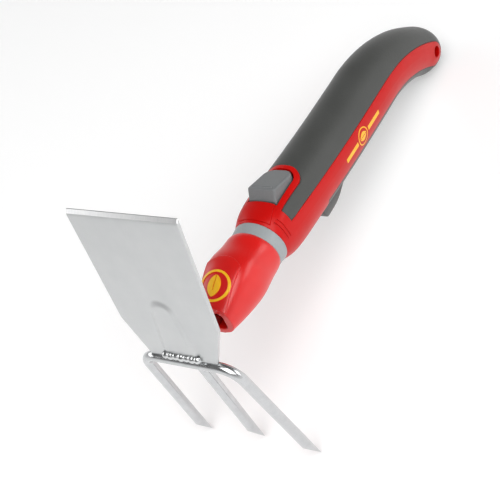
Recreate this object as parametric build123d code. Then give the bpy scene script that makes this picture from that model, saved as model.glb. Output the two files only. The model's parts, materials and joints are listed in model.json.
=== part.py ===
from build123d import *
from math import cos, exp, pi, radians, sin
import os

# Hand weeder: a small draw hoe on one side and a three-tine fork on the other,
# on a plastic handle with a push-button quick release. All sizes are in millimetres.
#
# The parts are drawn in the tool's own axes and turned into the resting pose at the end.
# Tool axes: +X along the straight grip towards the head, +Z towards the button, +Y to the
# right-hand shell. The origin is on the grip's axis where the handle meets the ring.

# ---- driving dimensions -------------------------------------------------------------
# hoe blade
blade_width = 65.0          # cutting edge
shoulder_width = 58.6       # where the long sides turn in
neck_width = 40.0           # at the weld
blade_long = 63.6           # cutting edge to shoulder
blade_short = 21.7          # shoulder to weld
blade_thickness = 2.0
blade_set_back = 0.4         # middle of its foot behind the middle of the bar
blade_lean = 6.8            # degrees, top edge leans towards the handle
bevel_length = 2.6          # ground cutting edge
bevel_left = 0.5            # metal left at the edge
rib_length = 36.4           # stiffening rib pressed into the blade
rib_top_radius = 7.8
rib_foot_half = 11.4
rib_height = 1.0

# fork
rod_diameter = 5.5
tang_diameter = 5.6
fork_half_spacing = 27.9    # middle of the bar to an outer tine, at the bar
fork_bend_radius = 10.0
fork_flare = 4.9            # degrees, outer tines spread
fork_lean = 9.1             # degrees, tines lean towards the handle
fork_length = 84.6
middle_length = 80.4        # tang axis down to the middle tip
middle_lean = 6.4
tang_bend_radius = 5.5
tip_angle = 21.0            # degrees, ground tip
bar_x = 79.0
bar_z = -1.5
front_weld = (9.6, 1.9, 7)   # half length, radius and puddles of the weld on the blade's face
front_weld_rise = 2.0        # above the blade's foot
rear_weld = (6.5, 3.3, 5)    # the same for the weld that joins the bar to the tang
rear_weld_back = 3.5         # behind the middle of the bar
puddle_growth = (1.1, 1.22)  # a puddle's radius as a share of the weld's, in turn

# tang, spigot and receiver: all on one axis
draw_z = -3.2
spigot_width = 13.8
spigot_height = 10.4
spigot_corner = 3.0
spigot_front = 22.0
spigot_rear = -42.0
spigot_lead = 1.6           # lead-in at the spigot's end
slide_clearance = 0.1
receiver_wall = 1.6
receiver_length = 46.0
tang_rear = -37.0
cross_pin_diameter = 3.0

# ring and socket
ring_width = 6.85
ring_rear_half = (15.3, 14.1)
ring_front_half = (14.8, 13.5)
ring_gap = 0.3
socket_end = 51.4
taper_start = 0.45          # share of the socket's length before it tapers
socket_rise = 4.9           # growth of top, bottom and sides over the length
socket_belly = 1.6
socket_side = 1.4
nose_drop = 12.8            # taper of top, bottom and sides at the nose
nose_lift = 3.3
nose_pinch = 6.3
mouth_half = 5.6
mouth_depth = 9.0
mouth_top = 2.4
mouth_bottom = -8.8
pad_height = 0.45
pad_squarer = 0.35          # the pad is flatter across than the socket
pad_start = 25.0
pad_corner_x = 29.5
pad_half = 10.2
pad_narrowing = 0.85         # its width at the nose, as a share
badge_x = 41.4
badge_tilt = 27.0
badge_half = (8.3, 9.0)
badge_line = 1.2
badge_height = 0.5
leaf_size = (11.4, 7.4)
leaf_vein = 0.6

# handle
grip_start = 11.0           # from the ring to the soft grip
grip_thickness = 2.0
shell_wall = 2.4
latch_wall = 1.6            # thinner where the latch works
bend_start = 126.5          # straight length of the handle
bend_radius = 107.0
bend_angle = 32.3           # degrees
tail_length = 23.3
tail_cap = 17.5
tail_half = (16.2, 14.0)
mid_half = (17.4, 19.4)
mid_drop = -3.6
swell_reach = 20.0          # how quickly the grip reaches its full size
drop_reach = 55.0
squareness = 0.65           # how square the section is behind the ring
square_at = 10.0
band_up = 6.0               # red side band, above and below the centre line
band_down = 8.6
hang_radius = 3.5
hang_inset = 18.8           # hole centre to the end of the tail
cavity_front = 5.0
cavity_rear = 164.0
plate_places = (-28.0, -44.0)   # rear to front, the plates that cradle the receiver
plate_thickness = 2.2
plate_drop = 1.0             # below the button
cheek_half = 4.0             # cheeks round the button's pin
screw_places = (62.0, 108.0, 150.0)
screw_radius = 1.5
screw_head_radius = 2.8
screw_head_height = 2.0
screw_sink = 1.2
screw_length = 20.0
boss_radius = 4.0

# finger stop under the handle
stop_front = 45.5
stop_low_x = 56.5
stop_rear = 75.0
stop_low_z = -33.6
stop_half = 8.5
stop_round = 4.2             # how far its front and rear corners are rounded up from the low point
under_grip_start = 44.0

# button and latch
button_front = 13.7
button_rear = 36.6
button_half = 8.4
button_corner = 6.0
button_top_front = 22.1
button_step = 16.2          # where the front face starts to lean back
button_top_rear = 17.0
button_gap = 0.9
button_front_gap = 1.1
button_bottom = 8.0
bezel_width = 2.5
bezel_corner = 8.5
pivot_x = -32.0
pivot_z = 11.6
pivot_radius = 1.25
pivot_clearance = 0.05
pivot_half = button_half + 2.8
leg_inner = spigot_width / 2 + slide_clearance + receiver_wall + 0.3
leg_thickness = 1.5
leg_front = 17.0
leg_rear = 21.0
leg_gap = 0.15
leg_room = 0.6               # round the legs and their webs
leg_drop = 1.5
leg_web = 1.6                # web that joins a leg to the button
cover_front = 1.6
cover_proud = 0.5
cover_flare = 1.5            # each side, from the button to the ring
cover_depth = 3.2
line_places = (-3.3, -5.4)   # moulded lines on the collar
line_starts = (10.9, 11.6)   # from the middle plane
line_low = 1.0
line_width = 0.5
line_depth = 0.4
leaf_thickness = 0.8
leaf_gap = 0.6
leaf_half = 4.5
leaf_room = 0.5              # round the leaf where it passes a plate of the shells
leaf_travel = 2.2            # downwards
leaf_front = 13.0
wing_half = leg_inner + 1.3
notch_front = 13.2
notch_length = 3.2
notch_depth = 1.5
nose_clearance = 0.3
nose_half = 3.6
coil_radius = 2.6
coil_wire = 0.7
coil_pitch = 1.9
coil_x = -22.0
coil_pocket = 3.4
lug_length = 7.0
lug_half = 4.5
lug_height = 3.4
lug_corner = 0.5
lug_gap = 0.2
leaf_screw_radius = 1.25

OVAL_POINTS = 12
GRIP_SECTIONS = 12
BEND_SECTIONS = 5
SOCKET_SECTIONS = 7
FAR = 90.0                  # larger than the handle in any direction across it


# ---- section curves --------------------------------------------------------------------
def oval(plane, half_w, half_h, power):
    """Closed smooth outline of a squared oval, half_w along the plane's x, half_h along its y."""
    points = []
    for i in range(OVAL_POINTS):
        a = 2 * pi * i / OVAL_POINTS
        c, s = cos(a), sin(a)
        u = half_w * abs(c) ** (2 / power) * (1 if c >= 0 else -1)
        v = half_h * abs(s) ** (2 / power) * (1 if s >= 0 else -1)
        points.append(plane.from_local_coords(Vector(u, v, 0)))
    steps = [i / OVAL_POINTS for i in range(OVAL_POINTS + 1)]
    return Wire([Edge.make_spline(points, periodic=True, parameters=steps)])


def across(x, z):
    """Plane square to the straight grip, its x along +Y and its y along +Z."""
    return Plane(origin=(x, 0, z), x_dir=(0, 1, 0), z_dir=(1, 0, 0))


arc_length = radians(bend_angle) * bend_radius
handle_length = bend_start + arc_length + tail_length


def drop(s):
    """Height of the straight grip's centre line, which settles below the ring's axis."""
    return mid_drop * (1 - exp(-((s / drop_reach) ** 2)))


def swell(ring, mid, s):
    """A half size that grows from the ring's to the grip's."""
    return mid - (mid - ring) * exp(-s / swell_reach)


def spine(s):
    """Point, direction and upward normal of the handle's centre line, s back from the ring."""
    if s <= bend_start:
        return Vector(-s, 0, drop(s)), Vector(-1, 0, 0), Vector(0, 0, 1)
    turn = min((s - bend_start) / bend_radius, radians(bend_angle))
    run = max(s - bend_start - arc_length, 0)
    way = Vector(-cos(turn), 0, -sin(turn))
    up = Vector(-sin(turn), 0, cos(turn))
    start = Vector(-bend_start - bend_radius * sin(turn), 0, drop(bend_start) - bend_radius * (1 - cos(turn)))
    return start + way * run, way, up


def handle_section(s, inset):
    """The handle's outline at s, drawn in by inset. It is squared behind the ring, round at the tail."""
    point, way, _ = spine(s)
    plane = Plane(origin=point, x_dir=(0, 1, 0), z_dir=-way)
    if s <= bend_start:
        power = 2 + squareness * s / square_at * exp(1 - s / square_at)
        half = [swell(ring, mid, s) - inset for ring, mid in zip(ring_rear_half, mid_half)]
        return oval(plane, half[0], half[1], power)
    share = min((s - bend_start) / (handle_length - bend_start), 1)
    cap_start = handle_length - tail_cap
    round_off = 1.0
    if s > cap_start:
        round_off = (1 - ((s - cap_start) / (tail_cap - inset)) ** 2) ** 0.5
    half = [(mid + share * (tail - mid) - inset) * round_off for mid, tail in zip(mid_half, tail_half)]
    return oval(plane, half[0], half[1], 2.0)


def beside(s, up):
    """Point at a distance above or below the centre line."""
    point, _, normal = spine(s)
    return point + normal * up


def handle_body(inset, start=0.0, end=None):
    """The handle's outer form, drawn in by inset on every side, from start to end along it."""
    steps = GRIP_SECTIONS + BEND_SECTIONS
    straight = [bend_start * i / GRIP_SECTIONS for i in range(GRIP_SECTIONS)]
    bend = [bend_start + arc_length * i / BEND_SECTIONS for i in range(BEND_SECTIONS + 1)]
    pitch = bend_start / steps
    stop = handle_length if end is None else end
    stations = [s for s in straight + bend if start + pitch < s < stop - pitch]
    cap_start = handle_length - tail_cap
    ends = [end] if end else [cap_start + (tail_cap - inset) * sin(radians(a)) for a in (0, 35, 58, 74, 85)]
    wires = [handle_section(s, inset) for s in [start] + stations + ends]
    if end is None:
        wires.append(Vertex(*spine(handle_length - inset)[0]))
    return Solid.make_loft(wires)


def socket_section(x, grow, squarer):
    """The socket's outline at x: it swells behind the badge and tapers down to the nose."""
    along = (x - ring_width) / (socket_end - ring_width)
    taper = max(0, (along - taper_start) / (1 - taper_start))
    top = ring_front_half[1] + socket_rise * along - nose_drop * taper ** 1.35
    bottom = -ring_front_half[1] - socket_belly * along + nose_lift * taper ** 1.2
    half_w = ring_front_half[0] + socket_side * along - nose_pinch * taper ** 1.3
    power = 2 + 1.6 * along * (1 - 0.8 * along) + squarer
    return oval(across(x, (top + bottom) / 2), half_w + grow, (top - bottom) / 2 + grow, power)


def socket_form(grow, squarer=0.0):
    """The socket's outer form, grown by grow on every side."""
    step = (socket_end - ring_width) / SOCKET_SECTIONS
    places = [ring_width + step * i for i in range(SOCKET_SECTIONS + 1)]
    return Solid.make_loft([socket_section(x, grow, squarer) for x in places])


# ---- helpers ---------------------------------------------------------------------------
def block(x0, x1, y0, y1, z0, z1):
    """Box between two corners."""
    size = (abs(x1 - x0), abs(y1 - y0), abs(z1 - z0))
    return Pos((x0 + x1) / 2, (y0 + y1) / 2, (z0 + z1) / 2) * Box(*size)


def rod(start, end, radius):
    """Round bar between two points."""
    a, b = Vector(*start), Vector(*end)
    return Solid.make_cylinder(radius, (b - a).length, Plane(origin=a, z_dir=b - a))


def side_prism(face_wire, half=FAR):
    """Outline in the XZ plane, pushed out both ways along Y."""
    return extrude(make_face(face_wire), amount=half, dir=(0, 1, 0), both=True)


def side_outline(points):
    """Closed straight-sided outline in the XZ plane."""
    return Polyline([(x, 0, z) for x, z in points], close=True)


def key_prism(width, height, corner, x0, x1):
    """Bar of rounded-rectangle section along the draw axis."""
    plane = Plane(origin=(x0, 0, draw_z), x_dir=(0, 1, 0), z_dir=(1, 0, 0))
    return extrude(plane * RectangleRounded(width, height, corner), amount=x1 - x0)


def one(shape):
    """The largest solid of a cut, which drops loose slivers."""
    return max(shape.solids(), key=lambda s: s.volume)


def well_column(half, rear, corner, front, z0, z1):
    """Upright column round the button: square in front, round-cornered behind."""
    length = rear - front
    plan = Pos(-(front + rear) / 2, 0) * Rectangle(length, 2 * half)
    plan = fillet(plan.vertices().group_by(Axis.X)[0], corner)
    return extrude(Pos(0, 0, z0) * plan, amount=z1 - z0)


# ---- handle ----------------------------------------------------------------------------
def band_column():
    """Side band: everything between its two edges, with a round end at the hanging hole."""
    steps = 12
    last = handle_length - hang_inset
    upper = [beside(last * i / steps, band_up) for i in range(steps + 1)]
    lower = [beside(last * i / steps, -band_down) for i in range(steps + 1)]
    tip = beside(last + (band_up + band_down) / 2, (band_up - band_down) / 2)
    top, low = Edge.make_spline(upper), Edge.make_spline(list(reversed(lower)))
    round_end = Edge.make_three_point_arc(upper[-1], tip, lower[-1])
    front = Edge.make_line(lower[0], upper[0])
    return side_prism(Wire([top, round_end, low, front]))


def above_column():
    """Everything above the handle's centre line."""
    points = [spine(handle_length * i / 16)[0] for i in range(17)]
    line = Edge.make_spline(points)
    a, b = points[0], points[-1]
    beyond = -handle_length - FAR
    far = [b, Vector(beyond, 0, b.Z), Vector(beyond, 0, FAR), Vector(a.X, 0, FAR), a]
    sides = [Edge.make_line(p, q) for p, q in zip(far, far[1:])]
    return side_prism(Wire([line] + sides))


def bezel_column(z0, z1):
    half = button_half + button_gap + bezel_width
    rear = button_rear + button_gap + bezel_width
    return well_column(half, rear, bezel_corner, 0.0, z0, z1)


def grip_parts(outer):
    """Soft grips, cut from the outer skin: above the bands and round the tail, and below."""
    skin = outer - handle_body(grip_thickness)
    skin = skin - band_column()
    above = above_column()
    upper = (skin & above) - block(-grip_start, 5, -FAR, FAR, -FAR, FAR) - bezel_column(0, FAR)
    lower = (skin - above) - block(-under_grip_start, 5, -FAR, FAR, -FAR, FAR)
    return one(upper), one(lower)


def finger_stop(outer):
    """Rounded bump that keeps the hand from sliding down to the head."""
    root_z = mid_drop - mid_half[1] + grip_thickness
    front = Vector(-stop_front, 0, root_z + 3)
    low = Vector(-stop_low_x, 0, stop_low_z)
    rear = Vector(-stop_rear, 0, root_z)
    shoulder = Vector(-stop_front - stop_round, 0, stop_low_z + stop_round)
    hip = Vector(-stop_low_x - 2 * stop_round, 0, stop_low_z + stop_round)
    curve = Edge.make_spline([front, shoulder, low, hip, rear])
    top = [rear, Vector(-stop_rear, 0, mid_drop), Vector(-stop_front, 0, mid_drop), front]
    sides = [Edge.make_line(p, q) for p, q in zip(top, top[1:])]
    bump = side_prism(Wire([curve] + sides), stop_half)
    depth = mid_drop - stop_low_z
    centre = across(-stop_rear - 1, mid_drop)
    barrel = extrude(centre * Ellipse(stop_half, depth), amount=stop_rear - stop_front + 2)
    return (bump & barrel) - outer


def under_grip(lower, outer):
    """Lower soft grip with its finger stop, one moulding."""
    return one(lower + finger_stop(outer))


def screw_line(s):
    """Centre of a shell screw, on the middle of the side band."""
    return beside(s, (band_up - band_down) / 2)


def screw_head_y(s):
    """Outer face of the side band at a screw, on the left-hand shell."""
    share = max(s - bend_start, 0) / (handle_length - bend_start)
    return -(mid_half[0] + share * (tail_half[0] - mid_half[0])) + screw_sink


def shell_screws():
    screws = []
    for s in screw_places:
        c, y = screw_line(s), screw_head_y(s)
        head = rod((c.X, y, c.Z), (c.X, y + screw_head_height, c.Z), screw_head_radius)
        shank = rod((c.X, y + screw_head_height, c.Z), (c.X, y + screw_length, c.Z), screw_radius)
        slot = Pos(c.X, y, c.Z) * Box(2 * screw_head_radius * 0.72, 1.6, 0.7)
        cross = Pos(c.X, y, c.Z) * Box(0.7, 1.6, 2 * screw_head_radius * 0.72)
        screws.append(one(head + shank - slot - cross))
    return Compound(screws)


def screw_room():
    """Heads, shanks and the drivers' way in, cut from the shells."""
    cuts = []
    for s in screw_places:
        c, y = screw_line(s), screw_head_y(s)
        cuts.append(rod((c.X, -FAR, c.Z), (c.X, y + screw_head_height, c.Z), screw_head_radius))
        cuts.append(rod((c.X, y, c.Z), (c.X, y + screw_length, c.Z), screw_radius))
    return cuts


def bosses():
    """Screw posts and the wall round the hanging hole."""
    posts = []
    for s in screw_places:
        c = screw_line(s)
        posts.append(rod((c.X, -FAR, c.Z), (c.X, FAR, c.Z), boss_radius))
    return posts


def hang_point():
    return spine(handle_length - hang_inset)[0]


def pivot_boss():
    """Cheeks that carry the button's pin."""
    y0 = button_half + button_gap
    cheek = block(pivot_x - cheek_half, pivot_x + cheek_half, y0, FAR, pivot_z - cheek_half, FAR)
    return cheek + mirror(cheek, about=Plane.XZ)


def ribs():
    """Two plates that cradle the receiver, slotted for the leaf, and the wall behind the ring."""
    low, half = leaf_top() - leaf_thickness - leaf_travel, leaf_half + leaf_room
    plates = [block(-cavity_front, 0, -FAR, FAR, -FAR, FAR)]
    for x in plate_places:
        plate = block(x - plate_thickness, x, -FAR, FAR, -FAR, button_bottom - plate_drop)
        plates.append(plate - block(x - plate_thickness, x, -half, half, low, receiver_floor()))
    return plates


def receiver_outer(x0, x1):
    width = spigot_width + 2 * (slide_clearance + receiver_wall)
    height = spigot_height + 2 * (slide_clearance + receiver_wall)
    return key_prism(width, height, spigot_corner + slide_clearance + receiver_wall, x0, x1)


def receiver_half():
    """Half width and half height of the receiver's outside."""
    grow = slide_clearance + receiver_wall
    return spigot_width / 2 + grow, spigot_height / 2 + grow


def receiver_floor():
    return draw_z - receiver_half()[1]


def cover_prism(z0, z1):
    """Plan of the cover plate in front of the button: it narrows towards the button."""
    front, rear = cover_front, button_front - button_front_gap
    wide, narrow = button_half + cover_flare, button_half
    outline = Polyline((-front, -wide), (-front, wide), (-rear, narrow), (-rear, -narrow), close=True)
    return extrude(Pos(0, 0, z0) * make_face(outline), amount=z1 - z0)


def latch_cover():
    """Raised plate that closes the button well at the front."""
    floor_z = ring_rear_half[1] - cover_depth
    return one(handle_body(-cover_proud) & cover_prism(floor_z, FAR))


def collar_lines():
    """Two fine moulded lines that follow the ring, on each side of the cover."""
    inner = handle_body(line_depth, 0.0, cavity_rear / 4)
    cuts = []
    for x, side in zip(line_places, line_starts):
        band = block(x - line_width, x, side, FAR, line_low, FAR) - inner
        cuts += [band, mirror(band, about=Plane.XZ)]
    return cuts


def handle_core(outer, upper, lower):
    """Both hard shells in one piece, before they are parted on the centre plane."""
    hollow = handle_body(grip_thickness + shell_wall, cavity_front, cavity_rear)
    inner = hollow
    for keep in bosses() + ribs():
        inner = inner - keep
    inner = inner - pivot_boss()
    core = outer - upper - lower
    core = core - inner - latch_room()
    core = core - receiver_outer(-receiver_length, 0)
    lug_end = lug_gap - receiver_length + lug_length
    lug = key_prism(2 * lug_half, 2 * lug_height, lug_corner, -receiver_length, lug_end)
    core = core - Pos(0, 0, receiver_floor() - draw_z) * lug
    core = core - well_column(button_half + button_gap, button_rear + button_gap, button_corner + button_gap,
                              button_front - button_front_gap, button_bottom - 1, FAR)
    core = core - cover_prism(ring_rear_half[1] - cover_depth, FAR)
    half = leg_inner + leg_thickness + leg_room
    low, top = button_bottom - leg_drop, leg_top() + leg_room
    core = core - block(plate_places[0], -button_front, -half, half, low, top)
    core = core - rod((pivot_x, -pivot_half, pivot_z), (pivot_x, pivot_half, pivot_z), pivot_radius)
    for cut in screw_room():
        core = core - cut
    for cut in collar_lines():
        core = core - cut
    hole = hang_point()
    return core - rod((hole.X, -FAR, hole.Z), (hole.X, FAR, hole.Z), hang_radius)


def leg_top():
    return button_bottom + leg_web


def latch_room():
    """Room in the shells for the leaf's wings and the button's legs."""
    room = handle_body(latch_wall, cavity_front, receiver_length)
    return room & block(plate_places[0], leg_drop - leaf_front, -FAR, FAR, -FAR, button_bottom - leg_drop)


def handle_shells(core):
    """The two shells, parted on the centre plane."""
    right = core & block(-FAR * 3, FAR, 0, FAR, -FAR, FAR)
    left = core & block(-FAR * 3, FAR, -FAR, 0, -FAR, FAR)
    return one(left), one(right)


# ---- receiver, latch and button ------------------------------------------------------
def receiver_sleeve():
    """Keyed tube that the spigot slides into, with a window for the latch nose."""
    inner = key_prism(spigot_width + 2 * slide_clearance, spigot_height + 2 * slide_clearance,
                      spigot_corner + slide_clearance, -receiver_length - 1, 1)
    sleeve = receiver_outer(-receiver_length, -ring_gap) - inner
    low = receiver_floor()
    window = block(-notch_front - notch_length - 0.4, -notch_front + 0.4, -nose_half - 0.5, nose_half + 0.5,
                   low - 1, draw_z)
    lug_end = -receiver_length + lug_length
    lug = block(-receiver_length, lug_end, -lug_half, lug_half, low - leaf_gap, low + 0.5)
    hole_x = -receiver_length + lug_length / 2
    hole = rod((hole_x, 0, low - lug_height - 1), (hole_x, 0, draw_z), leaf_screw_radius)
    return one(sleeve - window + (lug - inner) - hole)


def leaf_top():
    return receiver_floor() - leaf_gap


def latch_spring():
    """Spring-steel leaf: screwed at the rear, wings under the button's legs, nose in the notch."""
    top = leaf_top()
    strip = block(-receiver_length, -leaf_front, -leaf_half, leaf_half, top - leaf_thickness, top)
    wings = block(-leg_rear - 0.5, -leg_front + 0.5, -wing_half, wing_half, top - leaf_thickness, top)
    nose_top = draw_z - spigot_height / 2 + notch_depth - nose_clearance
    rear, front = -notch_front - notch_length + nose_clearance, -notch_front - nose_clearance
    nose = block(rear, front, -nose_half, nose_half, top - leaf_thickness, nose_top)
    ramp = Plane(origin=(rear, 0, nose_top - 1.0), z_dir=(-1, 0, 1))
    nose = split(nose, bisect_by=ramp, keep=Keep.BOTTOM)
    hole_x = -receiver_length + lug_length / 2
    hole = rod((hole_x, 0, top - 3), (hole_x, 0, top + 3), leaf_screw_radius)
    return one(strip + wings + nose - hole)


def latch_screw():
    """Pan-head screw that holds the leaf to the receiver."""
    x, top = -receiver_length + lug_length / 2, leaf_top()
    low = top - leaf_thickness
    head = rod((x, 0, low - 1.6), (x, 0, low), 2 * leaf_screw_radius)
    head = fillet(head.edges().group_by(Axis.Z)[0], 0.6)
    shank = rod((x, 0, low), (x, 0, draw_z - spigot_height / 2 - slide_clearance - 0.3), leaf_screw_radius)
    slot = block(x - 2.6, x + 2.6, -0.35, 0.35, low - 1.7, low - 0.9)
    return one(head + shank - slot)


def release_button():
    """Wedge-shaped rocker: high front with a thumb rib, low round rear, two legs beside the sleeve."""
    above = button_top_front + 5
    body = well_column(button_half, button_rear, button_corner, button_front, button_bottom, above)
    lean = button_top_front - button_step
    profile = side_outline((
        (-button_front, button_bottom),
        (-button_front, button_step),
        (-button_front - lean / 2, button_top_front),
        (-button_rear, button_top_rear),
        (-button_rear, button_bottom),
    ))
    body = body & side_prism(profile, button_half)
    top_edges = body.edges().filter_by(lambda e: e.center().Z > button_top_rear - 0.5)
    body = fillet(top_edges, 1.2)
    legs = []
    reach = leg_inner + leg_thickness
    for side in (-1, 1):
        y0, y1 = side * leg_inner, side * reach
        legs.append(block(-leg_rear, -leg_front, y0, y1, leaf_top() + leg_gap, leg_top()))
        legs.append(block(-leg_rear, -leg_front, side * (button_half - 1), y1, button_bottom, leg_top()))
    for leg in legs:
        body = body + leg
    pocket = rod((coil_x, 0, button_bottom - 1), (coil_x, 0, coil_top()), coil_pocket)
    rear_room = block(-button_rear - 1, pivot_x - 4, -FAR, FAR, button_bottom - 1, pivot_z - 1)
    pin_room = rod((pivot_x, -FAR, pivot_z), (pivot_x, FAR, pivot_z), pivot_radius + pivot_clearance)
    rib = rod((-button_front - lean / 2 - 1.6, -button_half + 2.2, button_top_front - 0.3),
              (-button_front - lean / 2 - 1.6, button_half - 2.2, button_top_front - 0.3), 0.7)
    return one(body + rib - pocket - rear_room - pin_room)


def button_pin():
    """Steel pin on which the button rocks."""
    return rod((pivot_x, -pivot_half, pivot_z), (pivot_x, pivot_half, pivot_z), pivot_radius)


def coil_base():
    return draw_z + receiver_half()[1]


def coil_top():
    return button_bottom + 5.0


def button_spring():
    """Coil spring between the receiver and the button's pocket."""
    height = coil_top() - coil_base() - coil_wire
    path = Pos(coil_x, 0, coil_base() + coil_wire / 2) * Helix(coil_pitch, height, coil_radius)
    start = path @ 0
    wire = Plane(origin=start, z_dir=path % 0) * Circle(coil_wire / 2)
    return one(sweep(wire, path=path, is_frenet=True))


# ---- head: spigot, ring, socket and badge ----------------------------------------------
def tang_path_end():
    """Bend of the tang: the axis of the middle tine lies behind the fork bar."""
    return bar_x - (rod_diameter + tang_diameter) / 2


def spigot():
    """Keyed plug that carries the tang, with the latch notch under it."""
    plug = key_prism(spigot_width, spigot_height, spigot_corner, spigot_rear, spigot_front)
    plug = chamfer(plug.faces().sort_by(Axis.X)[0].edges(), spigot_lead)
    low = draw_z - spigot_height / 2
    notch = block(-notch_front - notch_length, -notch_front, -FAR, FAR, low - 1, low + notch_depth)
    bore = rod((tang_rear - 0.5, 0, draw_z), (spigot_front + 1, 0, draw_z), tang_diameter / 2)
    return one(plug - notch - bore - cross_pin_room())


def cross_pins():
    """Two pins through spigot and tang: one hidden by the ring, one near the rear."""
    reach = spigot_width / 2
    return [rod((x, -reach, draw_z), (x, reach, draw_z), cross_pin_diameter / 2) for x in cross_pin_places()]


def cross_pin_places():
    return (ring_width / 2, tang_rear + 6.0)


def cross_pin_room():
    return Compound(cross_pins())


def lock_ring():
    """Grey collar between the handle and the socket."""
    wires = [oval(across(0, 0), ring_rear_half[0], ring_rear_half[1], 2.0),
             oval(across(ring_width, 0), ring_front_half[0], ring_front_half[1], 2.0)]
    ring = Solid.make_loft(wires, ruled=True)
    return one(ring - key_prism(spigot_width, spigot_height, spigot_corner, -1, ring_width + 1))


def mouth():
    """Hollow in the nose round the tang."""
    room = block(socket_end - mouth_depth, socket_end + 1, -mouth_half, mouth_half, mouth_bottom, mouth_top)
    return fillet(room.edges().filter_by(Axis.X), 3.0)


def socket_body(form):
    """Red socket moulded on the spigot: open at the nose, bored for the tang."""
    body = form - key_prism(spigot_width, spigot_height, spigot_corner, 0, spigot_front)
    bore = rod((spigot_front - 1, 0, draw_z), (socket_end, 0, draw_z), tang_diameter / 2)
    return one(body - bore - mouth())


def pad_plan():
    """Arched outline of the badge pad, seen from above."""
    wide, narrow = pad_half, pad_half * pad_narrowing
    arch = ThreePointArc((pad_corner_x, -wide), (pad_start, 0), (pad_corner_x, wide))
    sides = Polyline((pad_corner_x, wide), (socket_end, narrow), (socket_end, -narrow), (pad_corner_x, -wide))
    return extrude(make_face([arch, sides]), amount=FAR)


def badge_pad(form):
    """Raised pad on top of the socket."""
    raised = socket_form(pad_height, pad_squarer) & block(0, socket_end, -FAR, FAR, 0, FAR)
    return one((raised & pad_plan()) - form)


def badge_plane():
    """Plane of the oval badge, sloping down towards the nose."""
    tilt = radians(badge_tilt)
    return Plane(origin=(badge_x, 0, 11.8), x_dir=(cos(tilt), 0, -sin(tilt)), z_dir=(sin(tilt), 0, cos(tilt)))


def on_pad(sketch):
    """Raised figure that follows the pad's surface."""
    column = extrude(badge_plane() * sketch, amount=5, both=True)
    raised = column & socket_form(pad_height + badge_height, pad_squarer)
    return raised - socket_form(pad_height, pad_squarer)


def badge_ring():
    outer = Ellipse(badge_half[0], badge_half[1])
    inner = Ellipse(badge_half[0] - badge_line, badge_half[1] - badge_line)
    return one(on_pad(outer - inner))


def badge_leaf():
    """Plain leaf, pointing up the tool, parted by its midrib."""
    half = leaf_size[0] / 2
    right = ThreePointArc((half, 0), (0, leaf_size[1] / 2), (-half, 0))
    left = ThreePointArc((-half, 0), (0, -leaf_size[1] / 2), (half, 0))
    vein = Pos(-leaf_size[0] / 6, 0) * Rectangle(leaf_size[0] * 0.75, leaf_vein)
    return one(on_pad(make_face([right, left]) - vein))


# ---- head: steel -----------------------------------------------------------------------
def fork_plane():
    """Plane of the bent fork rod: x across the tool, y down along the tines."""
    lean = radians(fork_lean)
    down = Vector(-sin(lean), 0, -cos(lean))
    return Plane(origin=(bar_x, 0, bar_z), x_dir=(0, 1, 0), z_dir=Vector(0, 1, 0).cross(down))


def ground_tip(point, way):
    """Wedge that grinds the front of a tine to a point at its rear."""
    tilt = radians(tip_angle)
    front = Vector(1, 0, 0) - way * Vector(1, 0, 0).dot(way)
    front = front.normalized()
    normal = front * cos(tilt) + way * sin(tilt)
    corner = point - front * (rod_diameter / 2 - 0.25)
    return Plane(origin=corner, z_dir=normal)


def fork_rod():
    """Outer tines and the bar between them, one bent rod."""
    plane = fork_plane()
    out = fork_half_spacing + fork_length * sin(radians(fork_flare))
    down = fork_length * cos(radians(fork_flare))
    local = ((-out, down), (-fork_half_spacing, 0), (fork_half_spacing, 0), (out, down))
    points = [plane.from_local_coords(Vector(u, v, 0)) for u, v in local]
    path = FilletPolyline(*points, radius=fork_bend_radius)
    start_way = (points[0] - points[1]).normalized()
    end_way = (points[3] - points[2]).normalized()
    section = Plane(origin=points[0], z_dir=start_way * -1) * Circle(rod_diameter / 2)
    bent = sweep(section, path=path)
    bent = split(bent, bisect_by=ground_tip(points[0], start_way), keep=Keep.BOTTOM)
    return one(split(bent, bisect_by=ground_tip(points[3], end_way), keep=Keep.BOTTOM))


def tang_tine():
    """Tang that leaves the socket, turns down and ends as the middle tine."""
    lean = radians(middle_lean)
    x = tang_path_end()
    way = Vector(-sin(lean), 0, -cos(lean))
    corner = Vector(x, 0, draw_z)
    tip = corner + way * middle_length
    path = FilletPolyline(Vector(tang_rear, 0, draw_z), corner, tip, radius=tang_bend_radius)
    section = Plane(origin=(tang_rear, 0, draw_z), z_dir=(1, 0, 0)) * Circle(tang_diameter / 2)
    bar = sweep(section, path=path)
    bar = split(bar, bisect_by=ground_tip(tip, way), keep=Keep.BOTTOM)
    return one(bar - cross_pin_room())


def blade_plane():
    """Plane of the blade's back face: x across the tool, y up to the cutting edge."""
    lean = radians(blade_lean)
    up = Vector(-sin(lean), 0, cos(lean))
    foot = Vector(bar_x - blade_set_back - blade_thickness / 2, 0, bar_z + rod_diameter / 2)
    return Plane(origin=foot, x_dir=(0, 1, 0), z_dir=Vector(0, 1, 0).cross(up))


def rib_outline():
    """Arched outline of the pressed rib, wide at the weld."""
    top = rib_length - rib_top_radius
    arch = ThreePointArc((-rib_top_radius, top), (0, rib_length), (rib_top_radius, top))
    sides = Polyline((rib_top_radius, top), (rib_foot_half, 0), (-rib_foot_half, 0), (-rib_top_radius, top))
    return make_face([arch, sides])


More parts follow.
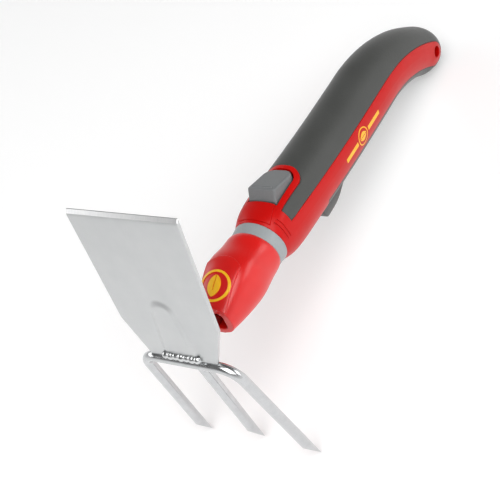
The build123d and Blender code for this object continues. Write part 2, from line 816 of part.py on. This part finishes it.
def hoe_blade():
    """Flat steel plate, widest at the ground cutting edge, with a pressed rib above the weld."""
    height = blade_short + blade_long
    plane = blade_plane()
    neck, shoulder, top = (neck_width / 2, 0), (shoulder_width / 2, blade_short), (blade_width / 2, height)
    left = [(-x, y) for x, y in (neck, shoulder, top)]
    outline = Polyline(*left, top, shoulder, neck, close=True)
    plate = extrude(plane * make_face(outline), amount=blade_thickness)
    front = plane.z_dir
    edge = plane.from_local_coords(Vector(0, height, bevel_left))
    back = plane.from_local_coords(Vector(0, height - bevel_length, blade_thickness))
    slope = (edge - back).normalized()
    grind = Plane(origin=edge, x_dir=(0, 1, 0), z_dir=slope.cross(Vector(0, 1, 0)))
    if grind.z_dir.dot(front) < 0:
        grind = Plane(origin=edge, z_dir=grind.z_dir * -1)
    plate = split(plate, bisect_by=grind, keep=Keep.BOTTOM)
    raised = extrude(plane * rib_outline(), amount=blade_thickness + rib_height)
    raised = chamfer(raised.faces().sort_by(Axis(plane.origin, plane.z_dir))[-1].edges(), rib_height * 0.7)
    return one(plate + raised)


def weld_bead(x, z, size, solids):
    """Lumpy bead across the tool, laid against the steel already there."""
    half, radius, puddles = size
    lie = Pos(x, 0, z) * Rot(X=90)
    bead = lie * Cylinder(radius, 2 * half)
    for i in range(puddles):
        along = -half + 2 * half * i / (puddles - 1)
        bead = bead + lie * Pos(0, 0, along) * Sphere(radius * puddle_growth[i % 2])
    for solid in solids:
        bead = bead - solid
    return one(bead)


# ---- resting pose ----------------------------------------------------------------------
def lowest(shape, pitch):
    return (Rot(Y=-pitch) * shape).bounding_box().min.Z


def rest_pitch(tail, tines):
    """Angle at which the tail and the tines touch one flat surface together."""
    low, high = 0.0, 25.0
    for _ in range(24):
        middle = (low + high) / 2
        if lowest(tail, middle) > lowest(tines, middle):
            low = middle
        else:
            high = middle
    return (low + high) / 2


def build():
    outer = handle_body(0)
    upper, lower = grip_parts(outer)
    core = handle_core(outer, upper, lower)
    left, right = handle_shells(core)
    form = socket_form(0)
    pad = badge_pad(form)
    blade, fork, tang = hoe_blade(), fork_rod(), tang_tine()
    bead_z = bar_z + rod_diameter / 2
    steel = [blade, fork, tang]
    front_bead = weld_bead(bar_x + blade_thickness / 2, bead_z + front_weld_rise, front_weld, steel)
    rear_bead = weld_bead(bar_x - rear_weld_back, bar_z + rod_diameter / 4, rear_weld, steel + [front_bead])
    parts = {
        "handle_shell_left": left,
        "handle_shell_right": right,
        "shell_screws": shell_screws(),
        "grip_upper": upper,
        "grip_lower": under_grip(lower, outer),
        "latch_cover": latch_cover(),
        "receiver_sleeve": receiver_sleeve(),
        "latch_spring": latch_spring(),
        "latch_screw": latch_screw(),
        "button_pin": button_pin(),
        "button_spring": button_spring(),
        "release_button": release_button(),
        "spigot": spigot(),
        "cross_pins": cross_pin_room(),
        "lock_ring": lock_ring(),
        "socket_body": socket_body(form),
        "badge_pad": pad,
        "badge_ring": badge_ring(),
        "badge_leaf": badge_leaf(),
        "tang_tine": tang,
        "fork_rod": fork,
        "hoe_blade": blade,
        "weld_front": front_bead,
        "weld_rear": rear_bead,
    }
    return parts


def write(parts):
    """Turns every part into the resting pose, writes it, and prints the places that mates need."""
    tail = handle_body(0)
    tines = Compound([parts["fork_rod"], parts["tang_tine"]])
    pitch = rest_pitch(tail, tines)
    turned = {name: Rot(Y=-pitch) * shape for name, shape in parts.items()}
    boxes = [shape.bounding_box() for shape in turned.values()]
    low_x, high_x = min(b.min.X for b in boxes), max(b.max.X for b in boxes)
    shift = Pos(-(low_x + high_x) / 2, 0, -min(b.min.Z for b in boxes))
    os.makedirs("parts", exist_ok=True)
    for name, shape in turned.items():
        export_step(shift * shape, f"parts/{name}.step")
    place = shift * Rot(Y=-pitch)
    hole = hang_point()
    for name, point in (("grip origin", (0, 0, 0)), ("button pivot", (pivot_x, 0, pivot_z)),
                        ("hanging hole", (hole.X, 0, hole.Z)), ("coil base", (coil_x, 0, coil_base())),
                        ("leaf root", (-receiver_length, 0, leaf_top()))):
        print(name, (place * Pos(*point)).position)
    print("rest pitch", pitch, "box", high_x - low_x)


write(build())
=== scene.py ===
import json
import math

import bmesh
import bpy
from mathutils import Matrix, Vector
from mathutils.bvhtree import BVHTree


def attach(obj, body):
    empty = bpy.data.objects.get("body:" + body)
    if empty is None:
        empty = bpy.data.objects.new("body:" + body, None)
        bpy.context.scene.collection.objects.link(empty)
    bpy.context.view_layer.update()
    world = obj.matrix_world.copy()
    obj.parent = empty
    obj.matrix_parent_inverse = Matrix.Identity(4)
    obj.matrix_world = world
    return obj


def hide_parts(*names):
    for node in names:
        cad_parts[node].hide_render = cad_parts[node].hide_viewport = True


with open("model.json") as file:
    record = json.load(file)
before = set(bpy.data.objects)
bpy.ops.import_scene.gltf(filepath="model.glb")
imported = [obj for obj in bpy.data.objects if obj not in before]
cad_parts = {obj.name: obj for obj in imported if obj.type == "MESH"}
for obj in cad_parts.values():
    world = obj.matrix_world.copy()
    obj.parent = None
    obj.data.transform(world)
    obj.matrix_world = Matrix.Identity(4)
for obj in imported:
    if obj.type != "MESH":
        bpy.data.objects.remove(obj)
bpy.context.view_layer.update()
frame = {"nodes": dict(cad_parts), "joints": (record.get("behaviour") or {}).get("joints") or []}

# ---- Handle shells and cover ------------------------------------------------------------
# Two injection-moulded halves and a small cover plate, all red ABS. The halves are screwed
# together on the middle plane, and the cover closes the button's well at the front.


def linear(hex_text):
    """An sRGB hex colour as the linear numbers that a shader takes."""
    parts = [int(hex_text[i:i + 2], 16) / 255 for i in (1, 3, 5)]
    curve = [c / 12.92 if c <= 0.04045 else ((c + 0.055) / 1.055) ** 2.4 for c in parts]
    return (*curve, 1.0)


def add(tree, kind, settings=None, links=None, **attributes):
    """Adds one shader node, sets its attributes and sockets, and links its inputs."""
    made = tree.nodes.new(kind)
    for name, value in attributes.items():
        setattr(made, name, value)
    for name, value in (settings or {}).items():
        made.inputs[name].default_value = value
    for name, source in (links or {}).items():
        tree.links.new(source, made.inputs[name])
    return made


def material(name, **settings):
    """A material with one Principled shader; the pattern's coordinates are metres on the object."""
    made = bpy.data.materials.new(name)
    made.use_nodes = True
    tree = made.node_tree
    tree.nodes.clear()
    shader = add(tree, "ShaderNodeBsdfPrincipled", settings)
    add(tree, "ShaderNodeOutputMaterial", links={"Surface": shader.outputs["BSDF"]})
    place = add(tree, "ShaderNodeTexCoord").outputs["Object"]
    return made, tree, shader, place


def dress(finish, *cad_nodes):
    """Puts a finish on carried-over CAD nodes."""
    for name in cad_nodes:
        mesh = frame["nodes"][name].data
        mesh.materials.clear()
        mesh.materials.append(finish)


# ABS from a satin mould with a soft, weak gloss. Its red is painted darker than the socket's red as
# painted shade, although both are the same ABS, with the faint long waves that a cooling wall leaves in
# the skin, about 6 mm from crest to crest.
abs_red_painted_shade, tree, shader, place = material(
    "abs_red_satin_painted_shade", **{"Roughness": 0.34, "IOR": 1.53, "Specular IOR Level": 0.2})
waves = add(tree, "ShaderNodeTexNoise", {"Scale": 1 / 0.006, "Detail": 1.5, "Roughness": 0.4},
            {"Vector": place})
tone = add(tree, "ShaderNodeValToRGB", links={"Fac": waves.outputs["Fac"]})
# This darker red on the shells is painted shade; the socket's copy of the same ABS is lighter.
tone.color_ramp.elements[0].color = linear("#B80603")
tone.color_ramp.elements[1].color = linear("#C00905")
tree.links.new(tone.outputs["Color"], shader.inputs["Base Color"])
peel = add(tree, "ShaderNodeTexNoise", {"Scale": 1 / 0.0012, "Detail": 2.0}, {"Vector": place})
skin = add(tree, "ShaderNodeMath", {1: 0.25}, {0: peel.outputs["Fac"]}, operation="MULTIPLY")
relief = add(tree, "ShaderNodeMath", links={0: waves.outputs["Fac"], 1: skin.outputs[0]}, operation="ADD")
edges = add(tree, "ShaderNodeBevel", {"Radius": 0.0004}, samples=6)
bump = add(tree, "ShaderNodeBump", {"Strength": 0.25, "Distance": 0.00006},
           {"Height": relief.outputs[0], "Normal": edges.outputs["Normal"]})
tree.links.new(bump.outputs["Normal"], shader.inputs["Normal"])
dress(abs_red_painted_shade, "handle_shell_left", "handle_shell_right", "latch_cover")

# ---- Soft grips -------------------------------------------------------------------------
# Thermoplastic elastomer moulded over the shells: one skin over the back of the handle and
# one under it with the finger stop. Each edge is rounded where it meets the red band.


def softened(name, cad_node, body, finish, voxel, rounds):
    """A copy of a CAD node with its moulded edges rounded, which stands for that node."""
    piece = bpy.data.objects.new(name, frame["nodes"][cad_node].data.copy())
    bpy.context.scene.collection.objects.link(piece)
    shape = bmesh.new()
    shape.from_mesh(piece.data)
    bmesh.ops.remove_doubles(shape, verts=shape.verts, dist=1e-6)
    shape.to_mesh(piece.data)
    shape.free()
    skin = piece.modifiers.new("skin", "REMESH")
    skin.mode = "VOXEL"
    skin.voxel_size = voxel
    rounding = piece.modifiers.new("rounding", "SMOOTH")
    rounding.factor = 0.5
    rounding.iterations = rounds
    made = bpy.data.meshes.new_from_object(piece.evaluated_get(bpy.context.evaluated_depsgraph_get()))
    piece.modifiers.clear()
    piece.data = made
    made.name = name
    made.materials.clear()
    made.materials.append(finish)
    made.shade_smooth()
    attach(piece, body)
    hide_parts(cad_node)
    return piece


# Moulded elastomer: dark warm grey with a dull bloom. The mould is spark eroded, a grain of
# about 0.2 mm, drawn at 0.8 mm so that it shows as a fine tooth in the highlight.
tpe_grey, tree, shader, place = material(
    "tpe_grey_spark_eroded_mould",
    **{"Roughness": 0.52, "IOR": 1.5, "Sheen Weight": 0.12, "Sheen Roughness": 0.4})
grain = add(tree, "ShaderNodeTexNoise", {"Scale": 1 / 0.0008, "Detail": 3.0, "Roughness": 0.6},
            {"Vector": place})
flow = add(tree, "ShaderNodeTexNoise", {"Scale": 1 / 0.018, "Detail": 2.0}, {"Vector": place})
tone = add(tree, "ShaderNodeValToRGB", links={"Fac": flow.outputs["Fac"]})
tone.color_ramp.elements[0].color = linear("#383937")
tone.color_ramp.elements[1].color = linear("#434442")
tree.links.new(tone.outputs["Color"], shader.inputs["Base Color"])
dull = add(tree, "ShaderNodeMapRange", {"To Min": 0.46, "To Max": 0.6}, {"Value": grain.outputs["Fac"]})
tree.links.new(dull.outputs["Result"], shader.inputs["Roughness"])
bump = add(tree, "ShaderNodeBump", {"Strength": 0.35, "Distance": 0.00012},
           {"Height": grain.outputs["Fac"]})
tree.links.new(bump.outputs["Normal"], shader.inputs["Normal"])

upper_grip = softened("grip_upper_soft", "grip_upper", "handle", tpe_grey, 0.00045, 5)
lower_grip = softened("grip_lower_soft", "grip_lower", "handle", tpe_grey, 0.00045, 5)

# ---- Release button and lock ring -------------------------------------------------------
# The button is moulded acetal and turns on a pin at its rear. The ring is the same plastic
# in a lighter grey and is held between the socket and the spigot's collar.
pom_grey, tree, shader, place = material("acetal_grey_satin_mould", **{"Roughness": 0.4, "IOR": 1.48})
grain = add(tree, "ShaderNodeTexNoise", {"Scale": 1 / 0.0007, "Detail": 2.0}, {"Vector": place})
tone = add(tree, "ShaderNodeValToRGB", links={"Fac": grain.outputs["Fac"]})
tone.color_ramp.elements[0].color = linear("#666869")
tone.color_ramp.elements[1].color = linear("#727475")
tree.links.new(tone.outputs["Color"], shader.inputs["Base Color"])
bump = add(tree, "ShaderNodeBump", {"Strength": 0.25, "Distance": 0.00008},
           {"Height": grain.outputs["Fac"]})
tree.links.new(bump.outputs["Normal"], shader.inputs["Normal"])
button = softened("release_button_cap", "release_button", "button", pom_grey, 0.0002, 4)

pom_ring, tree, shader, place = material(
    "acetal_light_grey_turned_mould", **{"Roughness": 0.38, "IOR": 1.48})
grain = add(tree, "ShaderNodeTexNoise", {"Scale": 1 / 0.0009, "Detail": 2.0}, {"Vector": place})
tone = add(tree, "ShaderNodeValToRGB", links={"Fac": grain.outputs["Fac"]})
tone.color_ramp.elements[0].color = linear("#8E9496")
tone.color_ramp.elements[1].color = linear("#9A9FA1")
tree.links.new(tone.outputs["Color"], shader.inputs["Base Color"])
bump = add(tree, "ShaderNodeBump", {"Strength": 0.2, "Distance": 0.00006},
           {"Height": grain.outputs["Fac"]})
tree.links.new(bump.outputs["Normal"], shader.inputs["Normal"])
ring = softened("lock_ring_band", "lock_ring", "head", pom_ring, 0.00028, 4)

# ---- Socket and badge pad ---------------------------------------------------------------
# The red socket is ABS moulded on the spigot, with an arched pad for the badge on top. Its
# mould is polished, so the same red is glossier here: long lights run along the sides.
abs_gloss, tree, shader, place = material(
    "abs_red_polished_mould", **{"Roughness": 0.3, "IOR": 1.53, "Specular IOR Level": 0.6})
waves = add(tree, "ShaderNodeTexNoise", {"Scale": 1 / 0.008, "Detail": 1.5, "Roughness": 0.4},
            {"Vector": place})
tone = add(tree, "ShaderNodeValToRGB", links={"Fac": waves.outputs["Fac"]})
tone.color_ramp.elements[0].color = linear("#CC0804")
tone.color_ramp.elements[1].color = linear("#D80F08")
tree.links.new(tone.outputs["Color"], shader.inputs["Base Color"])
bump = add(tree, "ShaderNodeBump", {"Strength": 0.25, "Distance": 0.00005},
           {"Height": waves.outputs["Fac"]})
tree.links.new(bump.outputs["Normal"], shader.inputs["Normal"])
socket = softened("socket_moulding", "socket_body", "head", abs_gloss, 0.0003, 6)
pad = softened("badge_pad_moulding", "badge_pad", "head", abs_gloss, 0.0002, 3)

# Yellow ABS pressed into the pad: bright, a little warm, and as glossy as the red.
abs_yellow, tree, shader, place = material(
    "abs_yellow_polished_mould", **{"Roughness": 0.3, "IOR": 1.53})
waves = add(tree, "ShaderNodeTexNoise", {"Scale": 1 / 0.002, "Detail": 1.0}, {"Vector": place})
tone = add(tree, "ShaderNodeValToRGB", links={"Fac": waves.outputs["Fac"]})
tone.color_ramp.elements[0].color = linear("#F4B010")
tone.color_ramp.elements[1].color = linear("#FBC828")
tree.links.new(tone.outputs["Color"], shader.inputs["Base Color"])
dress(abs_yellow, "badge_ring", "badge_leaf")

# ---- Side mark --------------------------------------------------------------------------
# A plain leaf in a ring between two bars, pad-printed in yellow ink on the right-hand band.
slide = next(j for j in frame["joints"] if j["name"] == "head_release")
hinge = next(j for j in frame["joints"] if j["name"] == "button_press")
along = Vector(slide["axis"]).normalized()
upward = Vector((-along.z, 0.0, along.x))
pin_back, pin_up = 0.032, 0.0116        # the button's pin from the origin of the tool's axes
ring_centre = Vector(hinge["pos_m"]) + along * pin_back - upward * pin_up


def tool(x, y, z):
    """A point from millimetres along, across and above the grip's axis, in metres."""
    return ring_centre + (along * x + Vector((0, 1, 0)) * y + upward * z) / 1000


def surface_of(cad_node):
    """The surface of a CAD node, to lay things on."""
    mesh = frame["nodes"][cad_node].data
    return BVHTree.FromPolygons([v.co for v in mesh.vertices], [tuple(p.vertices) for p in mesh.polygons])


band = surface_of("handle_shell_right")
mark = bmesh.new()


ink_lift = 0.00006          # the ink stands this far off the band, in metres
clear_of_band = 60          # millimetres to the right, outside every surface


def print_strip(left, right):
    """A printed stroke between two lines of points, laid on the crowned band."""
    rows = []
    for (x0, z0), (x1, z1) in zip(left, right):
        row = []
        for share in (0.0, 0.2, 0.4, 0.6, 0.8, 1.0):
            start = tool(x0 + (x1 - x0) * share, clear_of_band, z0 + (z1 - z0) * share)
            hit = band.ray_cast(start, Vector((0, -1, 0)))[0]
            row.append(mark.verts.new(hit + Vector((0, ink_lift, 0))))
        rows.append(row)
    for a, b in zip(rows, rows[1:]):
        for i in range(len(a) - 1):
            mark.faces.new((a[i], a[i + 1], b[i + 1], b[i]))


mark_x, mark_z = -89.0, -4.6
ring_outer, ring_inner = 5.3, 4.6
leaf_half, leaf_rise, vein_half = 3.9, 2.4, 0.22
bar_start, bar_end, bar_half = 6.6, 21.0, 1.3


def ring_line(radius):
    """Points round the mark's centre."""
    turns = [math.tau * i / 64 for i in range(65)]
    return [(mark_x + radius * math.cos(t), mark_z + radius * math.sin(t)) for t in turns]


print_strip(ring_line(ring_outer), ring_line(ring_inner))
for side in (-1, 1):
    steps = [i / 16 for i in range(17)]
    places = [mark_x - leaf_half + 2 * leaf_half * s for s in steps]
    rises = [0.25 + leaf_rise * math.sin(math.pi * s) for s in steps]
    curve = [(x, mark_z + side * rise) for x, rise in zip(places, rises)]
    print_strip(curve, [(x, mark_z + side * vein_half) for x in places])
for side in (1, -1):
    start, end = mark_x + side * bar_start, mark_x + side * bar_end
    places = [start + (end - start) * i / 24 for i in range(25)]
    print_strip([(x, mark_z + bar_half) for x in places], [(x, mark_z - bar_half) for x in places])
bmesh.ops.recalc_face_normals(mark, faces=mark.faces)
mark_mesh = bpy.data.meshes.new("side_mark")
mark.to_mesh(mark_mesh)
mark.free()
side_mark = bpy.data.objects.new("side_mark", mark_mesh)
bpy.context.scene.collection.objects.link(side_mark)

# Pad-printing ink: opaque yellow, a touch duller than the moulded badge, in patches of slightly different
# tone.
ink_yellow, tree, shader, place = material("pad_printing_ink_yellow", **{"Roughness": 0.42, "IOR": 1.5})
patches = add(tree, "ShaderNodeTexNoise", {"Scale": 1 / 0.0012, "Detail": 2.0}, {"Vector": place})
tone = add(tree, "ShaderNodeValToRGB", links={"Fac": patches.outputs["Fac"]})
tone.color_ramp.elements[0].color = linear("#F0A314")
tone.color_ramp.elements[1].color = linear("#FAC82A")
tree.links.new(tone.outputs["Color"], shader.inputs["Base Color"])
mark_mesh.materials.append(ink_yellow)
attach(side_mark, "handle")

# ---- Hoe blade --------------------------------------------------------------------------
# Rolled steel sheet, 2 mm, cut to shape with the long edge ground from the front. A broad
# arched rib is pressed forward above the weld, so the back is hollow behind it.
lean = math.radians(6.8)
blade_up = upward * math.cos(lean) - along * math.sin(lean)
blade_front = along * math.cos(lean) + upward * math.sin(lean)
blade_foot = tool(77.6, 0.0, 1.24)
plate, grind = 2.0, 1.9                 # sheet thickness and width of the ground edge
edge_left, edge_round = 0.5, 0.22       # steel left at the edge, and how far its rim is eased
rib, rib_wall = 0.95, 3.0               # height of the pressed rib and width of its wall
rib_foot, rib_top, rib_long = 11.4, 7.8, 28.6
neck, shoulder, tip = (0.0, 20.0), (21.7, 29.3), (85.3, 32.5)


def half_width(v):
    """Half the blade's width at a height above the weld, in millimetres."""
    low, high = (neck, shoulder) if v < shoulder[0] else (shoulder, tip)
    return low[1] + (high[1] - low[1]) * (v - low[0]) / (high[0] - low[0])


def pressed(u, v):
    """How far the rib stands forward: a flat field with soft walls and a round top."""
    if v < rib_long:
        inside = rib_foot - (rib_foot - rib_top) * v / rib_long - abs(u)
    else:
        inside = rib_top - math.hypot(u, v - rib_long)
    share = min(max(inside / rib_wall, 0.0), 1.0)
    return rib * share * share * (3 - 2 * share)


def blade_point(u, v, w):
    """A point across, up and in front of the blade's foot, in metres."""
    return blade_foot + (Vector((0, 1, 0)) * u + blade_up * v + blade_front * w) / 1000


# Rows and columns lie closer together at the rims, so that the shading turns sharply there.
heights = [0.0, 0.15] + [0.7 * i for i in range(1, 32)] + [21.7 + 0.9 * i for i in range(1, 68)]
heights += [82.7, 83.6, 84.4, 85.0, 85.3]
shares = [-1.0, -0.992] + [-0.97 + 1.94 * i / 74 for i in range(75)] + [0.992, 1.0]
blade = bmesh.new()
sheets = []
for face in (0, 1):
    sheet = []
    for v in heights:
        row = []
        for a in shares:
            u = a * half_width(v)
            w = pressed(u, v)
            ease = edge_round if abs(a) == 1.0 or v == 0.0 else 0.0
            if face == 1:
                ground_face = edge_left + (tip[0] - v) * (plate - edge_left) / grind
                w = min(w + plate, ground_face) - ease
            else:
                w = w + ease
            row.append(blade.verts.new(blade_point(u, v, w)))
        sheet.append(row)
    sheets.append(sheet)
for i in range(len(heights) - 1):
    for j in range(len(shares) - 1):
        near, far = sheets[1][i], sheets[1][i + 1]
        front = blade.faces.new((near[j], near[j + 1], far[j + 1], far[j]))
        front.material_index = 1 if heights[i] > tip[0] - grind else 0
        near, far = sheets[0][i], sheets[0][i + 1]
        blade.faces.new((near[j], far[j], far[j + 1], near[j + 1]))
    for j in (0, len(shares) - 1):
        blade.faces.new((sheets[0][i][j], sheets[1][i][j], sheets[1][i + 1][j], sheets[0][i + 1][j]))
for i in (0, len(heights) - 1):
    for j in range(len(shares) - 1):
        blade.faces.new((sheets[0][i][j], sheets[0][i][j + 1], sheets[1][i][j + 1], sheets[1][i][j]))
bmesh.ops.recalc_face_normals(blade, faces=blade.faces)
blade_mesh = bpy.data.meshes.new("hoe_blade_sheet")
blade.to_mesh(blade_mesh)
blade.free()
blade_mesh.shade_smooth()
blade_mesh.set_sharp_from_angle(angle=math.radians(24))
blade_piece = bpy.data.objects.new("hoe_blade_sheet", blade_mesh)
bpy.context.scene.collection.objects.link(blade_piece)

# Zinc-plated sheet: pale, even and satin. The rolling grain runs up the blade, about 0.4 mm
# between lines, and the plating has soft clouds 15 mm across.
zinc, tree, shader, place = material("steel_sheet_zinc_plated", **{"Metallic": 1.0, "Roughness": 0.36})
clouds = add(tree, "ShaderNodeTexNoise", {"Scale": 1 / 0.015, "Detail": 3.0, "Roughness": 0.55},
             {"Vector": place})
tone = add(tree, "ShaderNodeValToRGB", links={"Fac": clouds.outputs["Fac"]})
tone.color_ramp.elements[0].color = linear("#C4C6C7")
tone.color_ramp.elements[1].color = linear("#D2D3D3")
tree.links.new(tone.outputs["Color"], shader.inputs["Base Color"])
across = add(tree, "ShaderNodeMapping", {"Scale": (90.0, 2500.0, 90.0)}, {"Vector": place})
lines = add(tree, "ShaderNodeTexNoise", {"Scale": 1.0, "Detail": 2.0},
            {"Vector": across.outputs["Vector"]})
satin = add(tree, "ShaderNodeMapRange", {"To Min": 0.32, "To Max": 0.44}, {"Value": lines.outputs["Fac"]})
tree.links.new(satin.outputs["Result"], shader.inputs["Roughness"])
bump = add(tree, "ShaderNodeBump", {"Strength": 0.12, "Distance": 0.00003},
           {"Height": lines.outputs["Fac"]})
tree.links.new(bump.outputs["Normal"], shader.inputs["Normal"])
blade_mesh.materials.append(zinc)

# The ground edge: bare steel, its colour painted near white as a highlight along the edge, with wheel
# marks that cross it about 0.3 mm apart.
ground, tree, shader, place = material("steel_ground_edge_painted_highlight", **{"Metallic": 1.0, "Roughness": 0.3})
stretch = add(tree, "ShaderNodeMapping", {"Scale": (200.0, 3300.0, 200.0)}, {"Vector": place})
marks = add(tree, "ShaderNodeTexNoise", {"Scale": 1.0, "Detail": 1.0},
            {"Vector": stretch.outputs["Vector"]})
tone = add(tree, "ShaderNodeValToRGB", links={"Fac": marks.outputs["Fac"]})
# Near-white base colour: partly bare ground steel, partly a painted highlight on the edge.
tone.color_ramp.elements[0].color = linear("#E6E7E8")
tone.color_ramp.elements[1].color = linear("#FAFAFA")
tree.links.new(tone.outputs["Color"], shader.inputs["Base Color"])
blade_mesh.materials.append(ground)
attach(blade_piece, "head")
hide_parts("hoe_blade")

# ---- Fork and tang ----------------------------------------------------------------------
# Drawn steel rod, bent hot and ground to a point on the front of each tine. The plating is
# bright, its gloss varying at random over small pits.
bright, tree, shader, place = material("steel_rod_bright_plated", **{"Metallic": 1.0, "Roughness": 0.14})
pits = add(tree, "ShaderNodeTexNoise", {"Scale": 1 / 0.004, "Detail": 4.0, "Roughness": 0.6},
           {"Vector": place})
tone = add(tree, "ShaderNodeValToRGB", links={"Fac": pits.outputs["Fac"]})
tone.color_ramp.elements[0].color = linear("#B4B6B8")
tone.color_ramp.elements[1].color = linear("#D2D3D4")
tree.links.new(tone.outputs["Color"], shader.inputs["Base Color"])
gloss = add(tree, "ShaderNodeMapRange", {"To Min": 0.08, "To Max": 0.3}, {"Value": pits.outputs["Fac"]})
tree.links.new(gloss.outputs["Result"], shader.inputs["Roughness"])
bump = add(tree, "ShaderNodeBump", {"Strength": 0.25, "Distance": 0.0001},
           {"Height": pits.outputs["Fac"]})
tree.links.new(bump.outputs["Normal"], shader.inputs["Normal"])
dress(bright, "fork_rod", "tang_tine")

# ---- Welds ------------------------------------------------------------------------------
# Two runs of MIG weld in front of and behind the blade, plated with the rest. Each run is a
# row of overlapping puddles, so it stays lumpy and catches small hard lights.
weld, tree, shader, place = material("steel_weld_bead_plated", **{"Metallic": 1.0, "Roughness": 0.16})
ripples = add(tree, "ShaderNodeTexNoise", {"Scale": 1 / 0.0016, "Detail": 3.0}, {"Vector": place})
tone = add(tree, "ShaderNodeValToRGB", links={"Fac": ripples.outputs["Fac"]})
tone.color_ramp.elements[0].color = linear("#B4B6B7")
tone.color_ramp.elements[1].color = linear("#E4E5E5")
tree.links.new(tone.outputs["Color"], shader.inputs["Base Color"])
bump = add(tree, "ShaderNodeBump", {"Strength": 0.6, "Distance": 0.0004},
           {"Height": ripples.outputs["Fac"]})
tree.links.new(bump.outputs["Normal"], shader.inputs["Normal"])
for run in ("weld_front", "weld_rear"):
    bead = softened(run + "_bead", run, "head", weld, 0.0003, 3)

# ---- Small metal parts ------------------------------------------------------------------
# Screws, pins and springs inside the handle. They are turned, headed or wound steel.
screw_steel, tree, shader, place = material(
    "steel_screw_zinc_plated", **{"Metallic": 1.0, "Roughness": 0.3})
wear = add(tree, "ShaderNodeTexNoise", {"Scale": 1 / 0.001, "Detail": 2.0}, {"Vector": place})
tone = add(tree, "ShaderNodeValToRGB", links={"Fac": wear.outputs["Fac"]})
tone.color_ramp.elements[0].color = linear("#A9ABAC")
tone.color_ramp.elements[1].color = linear("#BFC1C2")
tree.links.new(tone.outputs["Color"], shader.inputs["Base Color"])
dress(screw_steel, "shell_screws", "latch_screw", "button_pin", "cross_pins", "receiver_sleeve")

spring_steel, tree, shader, place = material(
    "spring_steel_oiled", **{"Metallic": 1.0, "Roughness": 0.28})
film = add(tree, "ShaderNodeTexNoise", {"Scale": 1 / 0.003, "Detail": 2.0}, {"Vector": place})
tone = add(tree, "ShaderNodeValToRGB", links={"Fac": film.outputs["Fac"]})
tone.color_ramp.elements[0].color = linear("#85878A")
tone.color_ramp.elements[1].color = linear("#9C9EA0")
tree.links.new(tone.outputs["Color"], shader.inputs["Base Color"])
dress(spring_steel, "button_spring", "latch_spring")

# ---- Spigot -----------------------------------------------------------------------------
# Glass-filled black nylon, moulded round the tang; dull, with fine flow marks along it.
nylon, tree, shader, place = material("nylon_black_glass_filled", **{"Roughness": 0.5, "IOR": 1.53})
flow = add(tree, "ShaderNodeTexNoise", {"Scale": 1 / 0.002, "Detail": 3.0}, {"Vector": place})
tone = add(tree, "ShaderNodeValToRGB", links={"Fac": flow.outputs["Fac"]})
tone.color_ramp.elements[0].color = linear("#191919")
tone.color_ramp.elements[1].color = linear("#242425")
tree.links.new(tone.outputs["Color"], shader.inputs["Base Color"])
dress(nylon, "spigot")

# ---- Studio -----------------------------------------------------------------------------
# A plain white table lit through from below, a soft key light high behind the viewer and a
# long soft light on each side. The room above is dim, so upward faces keep their colour.
table = bmesh.new()
bmesh.ops.create_grid(table, x_segments=24, y_segments=24, size=4.0)
table_mesh = bpy.data.meshes.new("studio_floor")
table.to_mesh(table_mesh)
table.free()
floor = bpy.data.objects.new("studio_floor", table_mesh)
bpy.context.scene.collection.objects.link(floor)
floor.location.z = -0.0003
acrylic, tree, shader, place = material("acrylic_white_light_table", **{
    "Base Color": linear("#EDEDED"), "Roughness": 0.8, "Emission Color": (1.0, 1.0, 1.0, 1.0),
    "Emission Strength": 0.2})
table_mesh.materials.append(acrylic)

room = bpy.data.worlds.new("studio_room")
bpy.context.scene.world = room
room.use_nodes = True
tree = room.node_tree
sky = add(tree, "ShaderNodeTexCoord").outputs["Generated"]
height = add(tree, "ShaderNodeSeparateXYZ", links={0: sky}).outputs["Z"]
shade = add(tree, "ShaderNodeValToRGB", links={"Fac": height})
shade.color_ramp.elements[0].position = 0.05
shade.color_ramp.elements[0].color = (0.95, 0.95, 0.95, 1.0)
shade.color_ramp.elements[1].position = 0.4
shade.color_ramp.elements[1].color = (0.16, 0.16, 0.16, 1.0)
tree.links.new(shade.outputs["Color"], tree.nodes["Background"].inputs["Color"])


def softbox(name, place_m, size_m, watts):
    """A soft rectangular light that looks at the tool."""
    lamp = bpy.data.lights.new(name, "AREA")
    lamp.shape = "RECTANGLE"
    lamp.size, lamp.size_y = size_m
    lamp.energy = watts
    holder = bpy.data.objects.new(name, lamp)
    bpy.context.scene.collection.objects.link(holder)
    holder.location = place_m
    way = Vector((0.0, 0.0, 0.06)) - Vector(place_m)
    holder.rotation_euler = way.to_track_quat("-Z", "Y").to_euler()


softbox("key_softbox", (0.55, 0.6, 1.25), (1.4, 1.4), 22.0)
softbox("left_strip", (0.2, -1.1, 0.7), (1.3, 0.35), 4.0)
softbox("right_strip", (-0.6, 1.1, 0.55), (1.2, 0.5), 4.5)

# ---- Camera -----------------------------------------------------------------------------
lens = bpy.data.cameras.new("camera")
lens.sensor_width = 36.0
lens.lens = 82.8
camera = bpy.data.objects.new("camera", lens)
bpy.context.scene.collection.objects.link(camera)
right = tool(-0.4579, 0.8119, -0.3621) - tool(0, 0, 0)
ahead = tool(-0.5399, -0.5776, -0.6123) - tool(0, 0, 0)
right, ahead = right.normalized(), ahead.normalized()
above = right.cross(ahead)
facing = Matrix((right, above, -ahead)).transposed().to_4x4()
camera.matrix_world = Matrix.Translation(tool(320.5, 335.5, 362.4)) @ facing
bpy.context.scene.camera = camera
bpy.context.scene.view_settings.view_transform = "Standard"
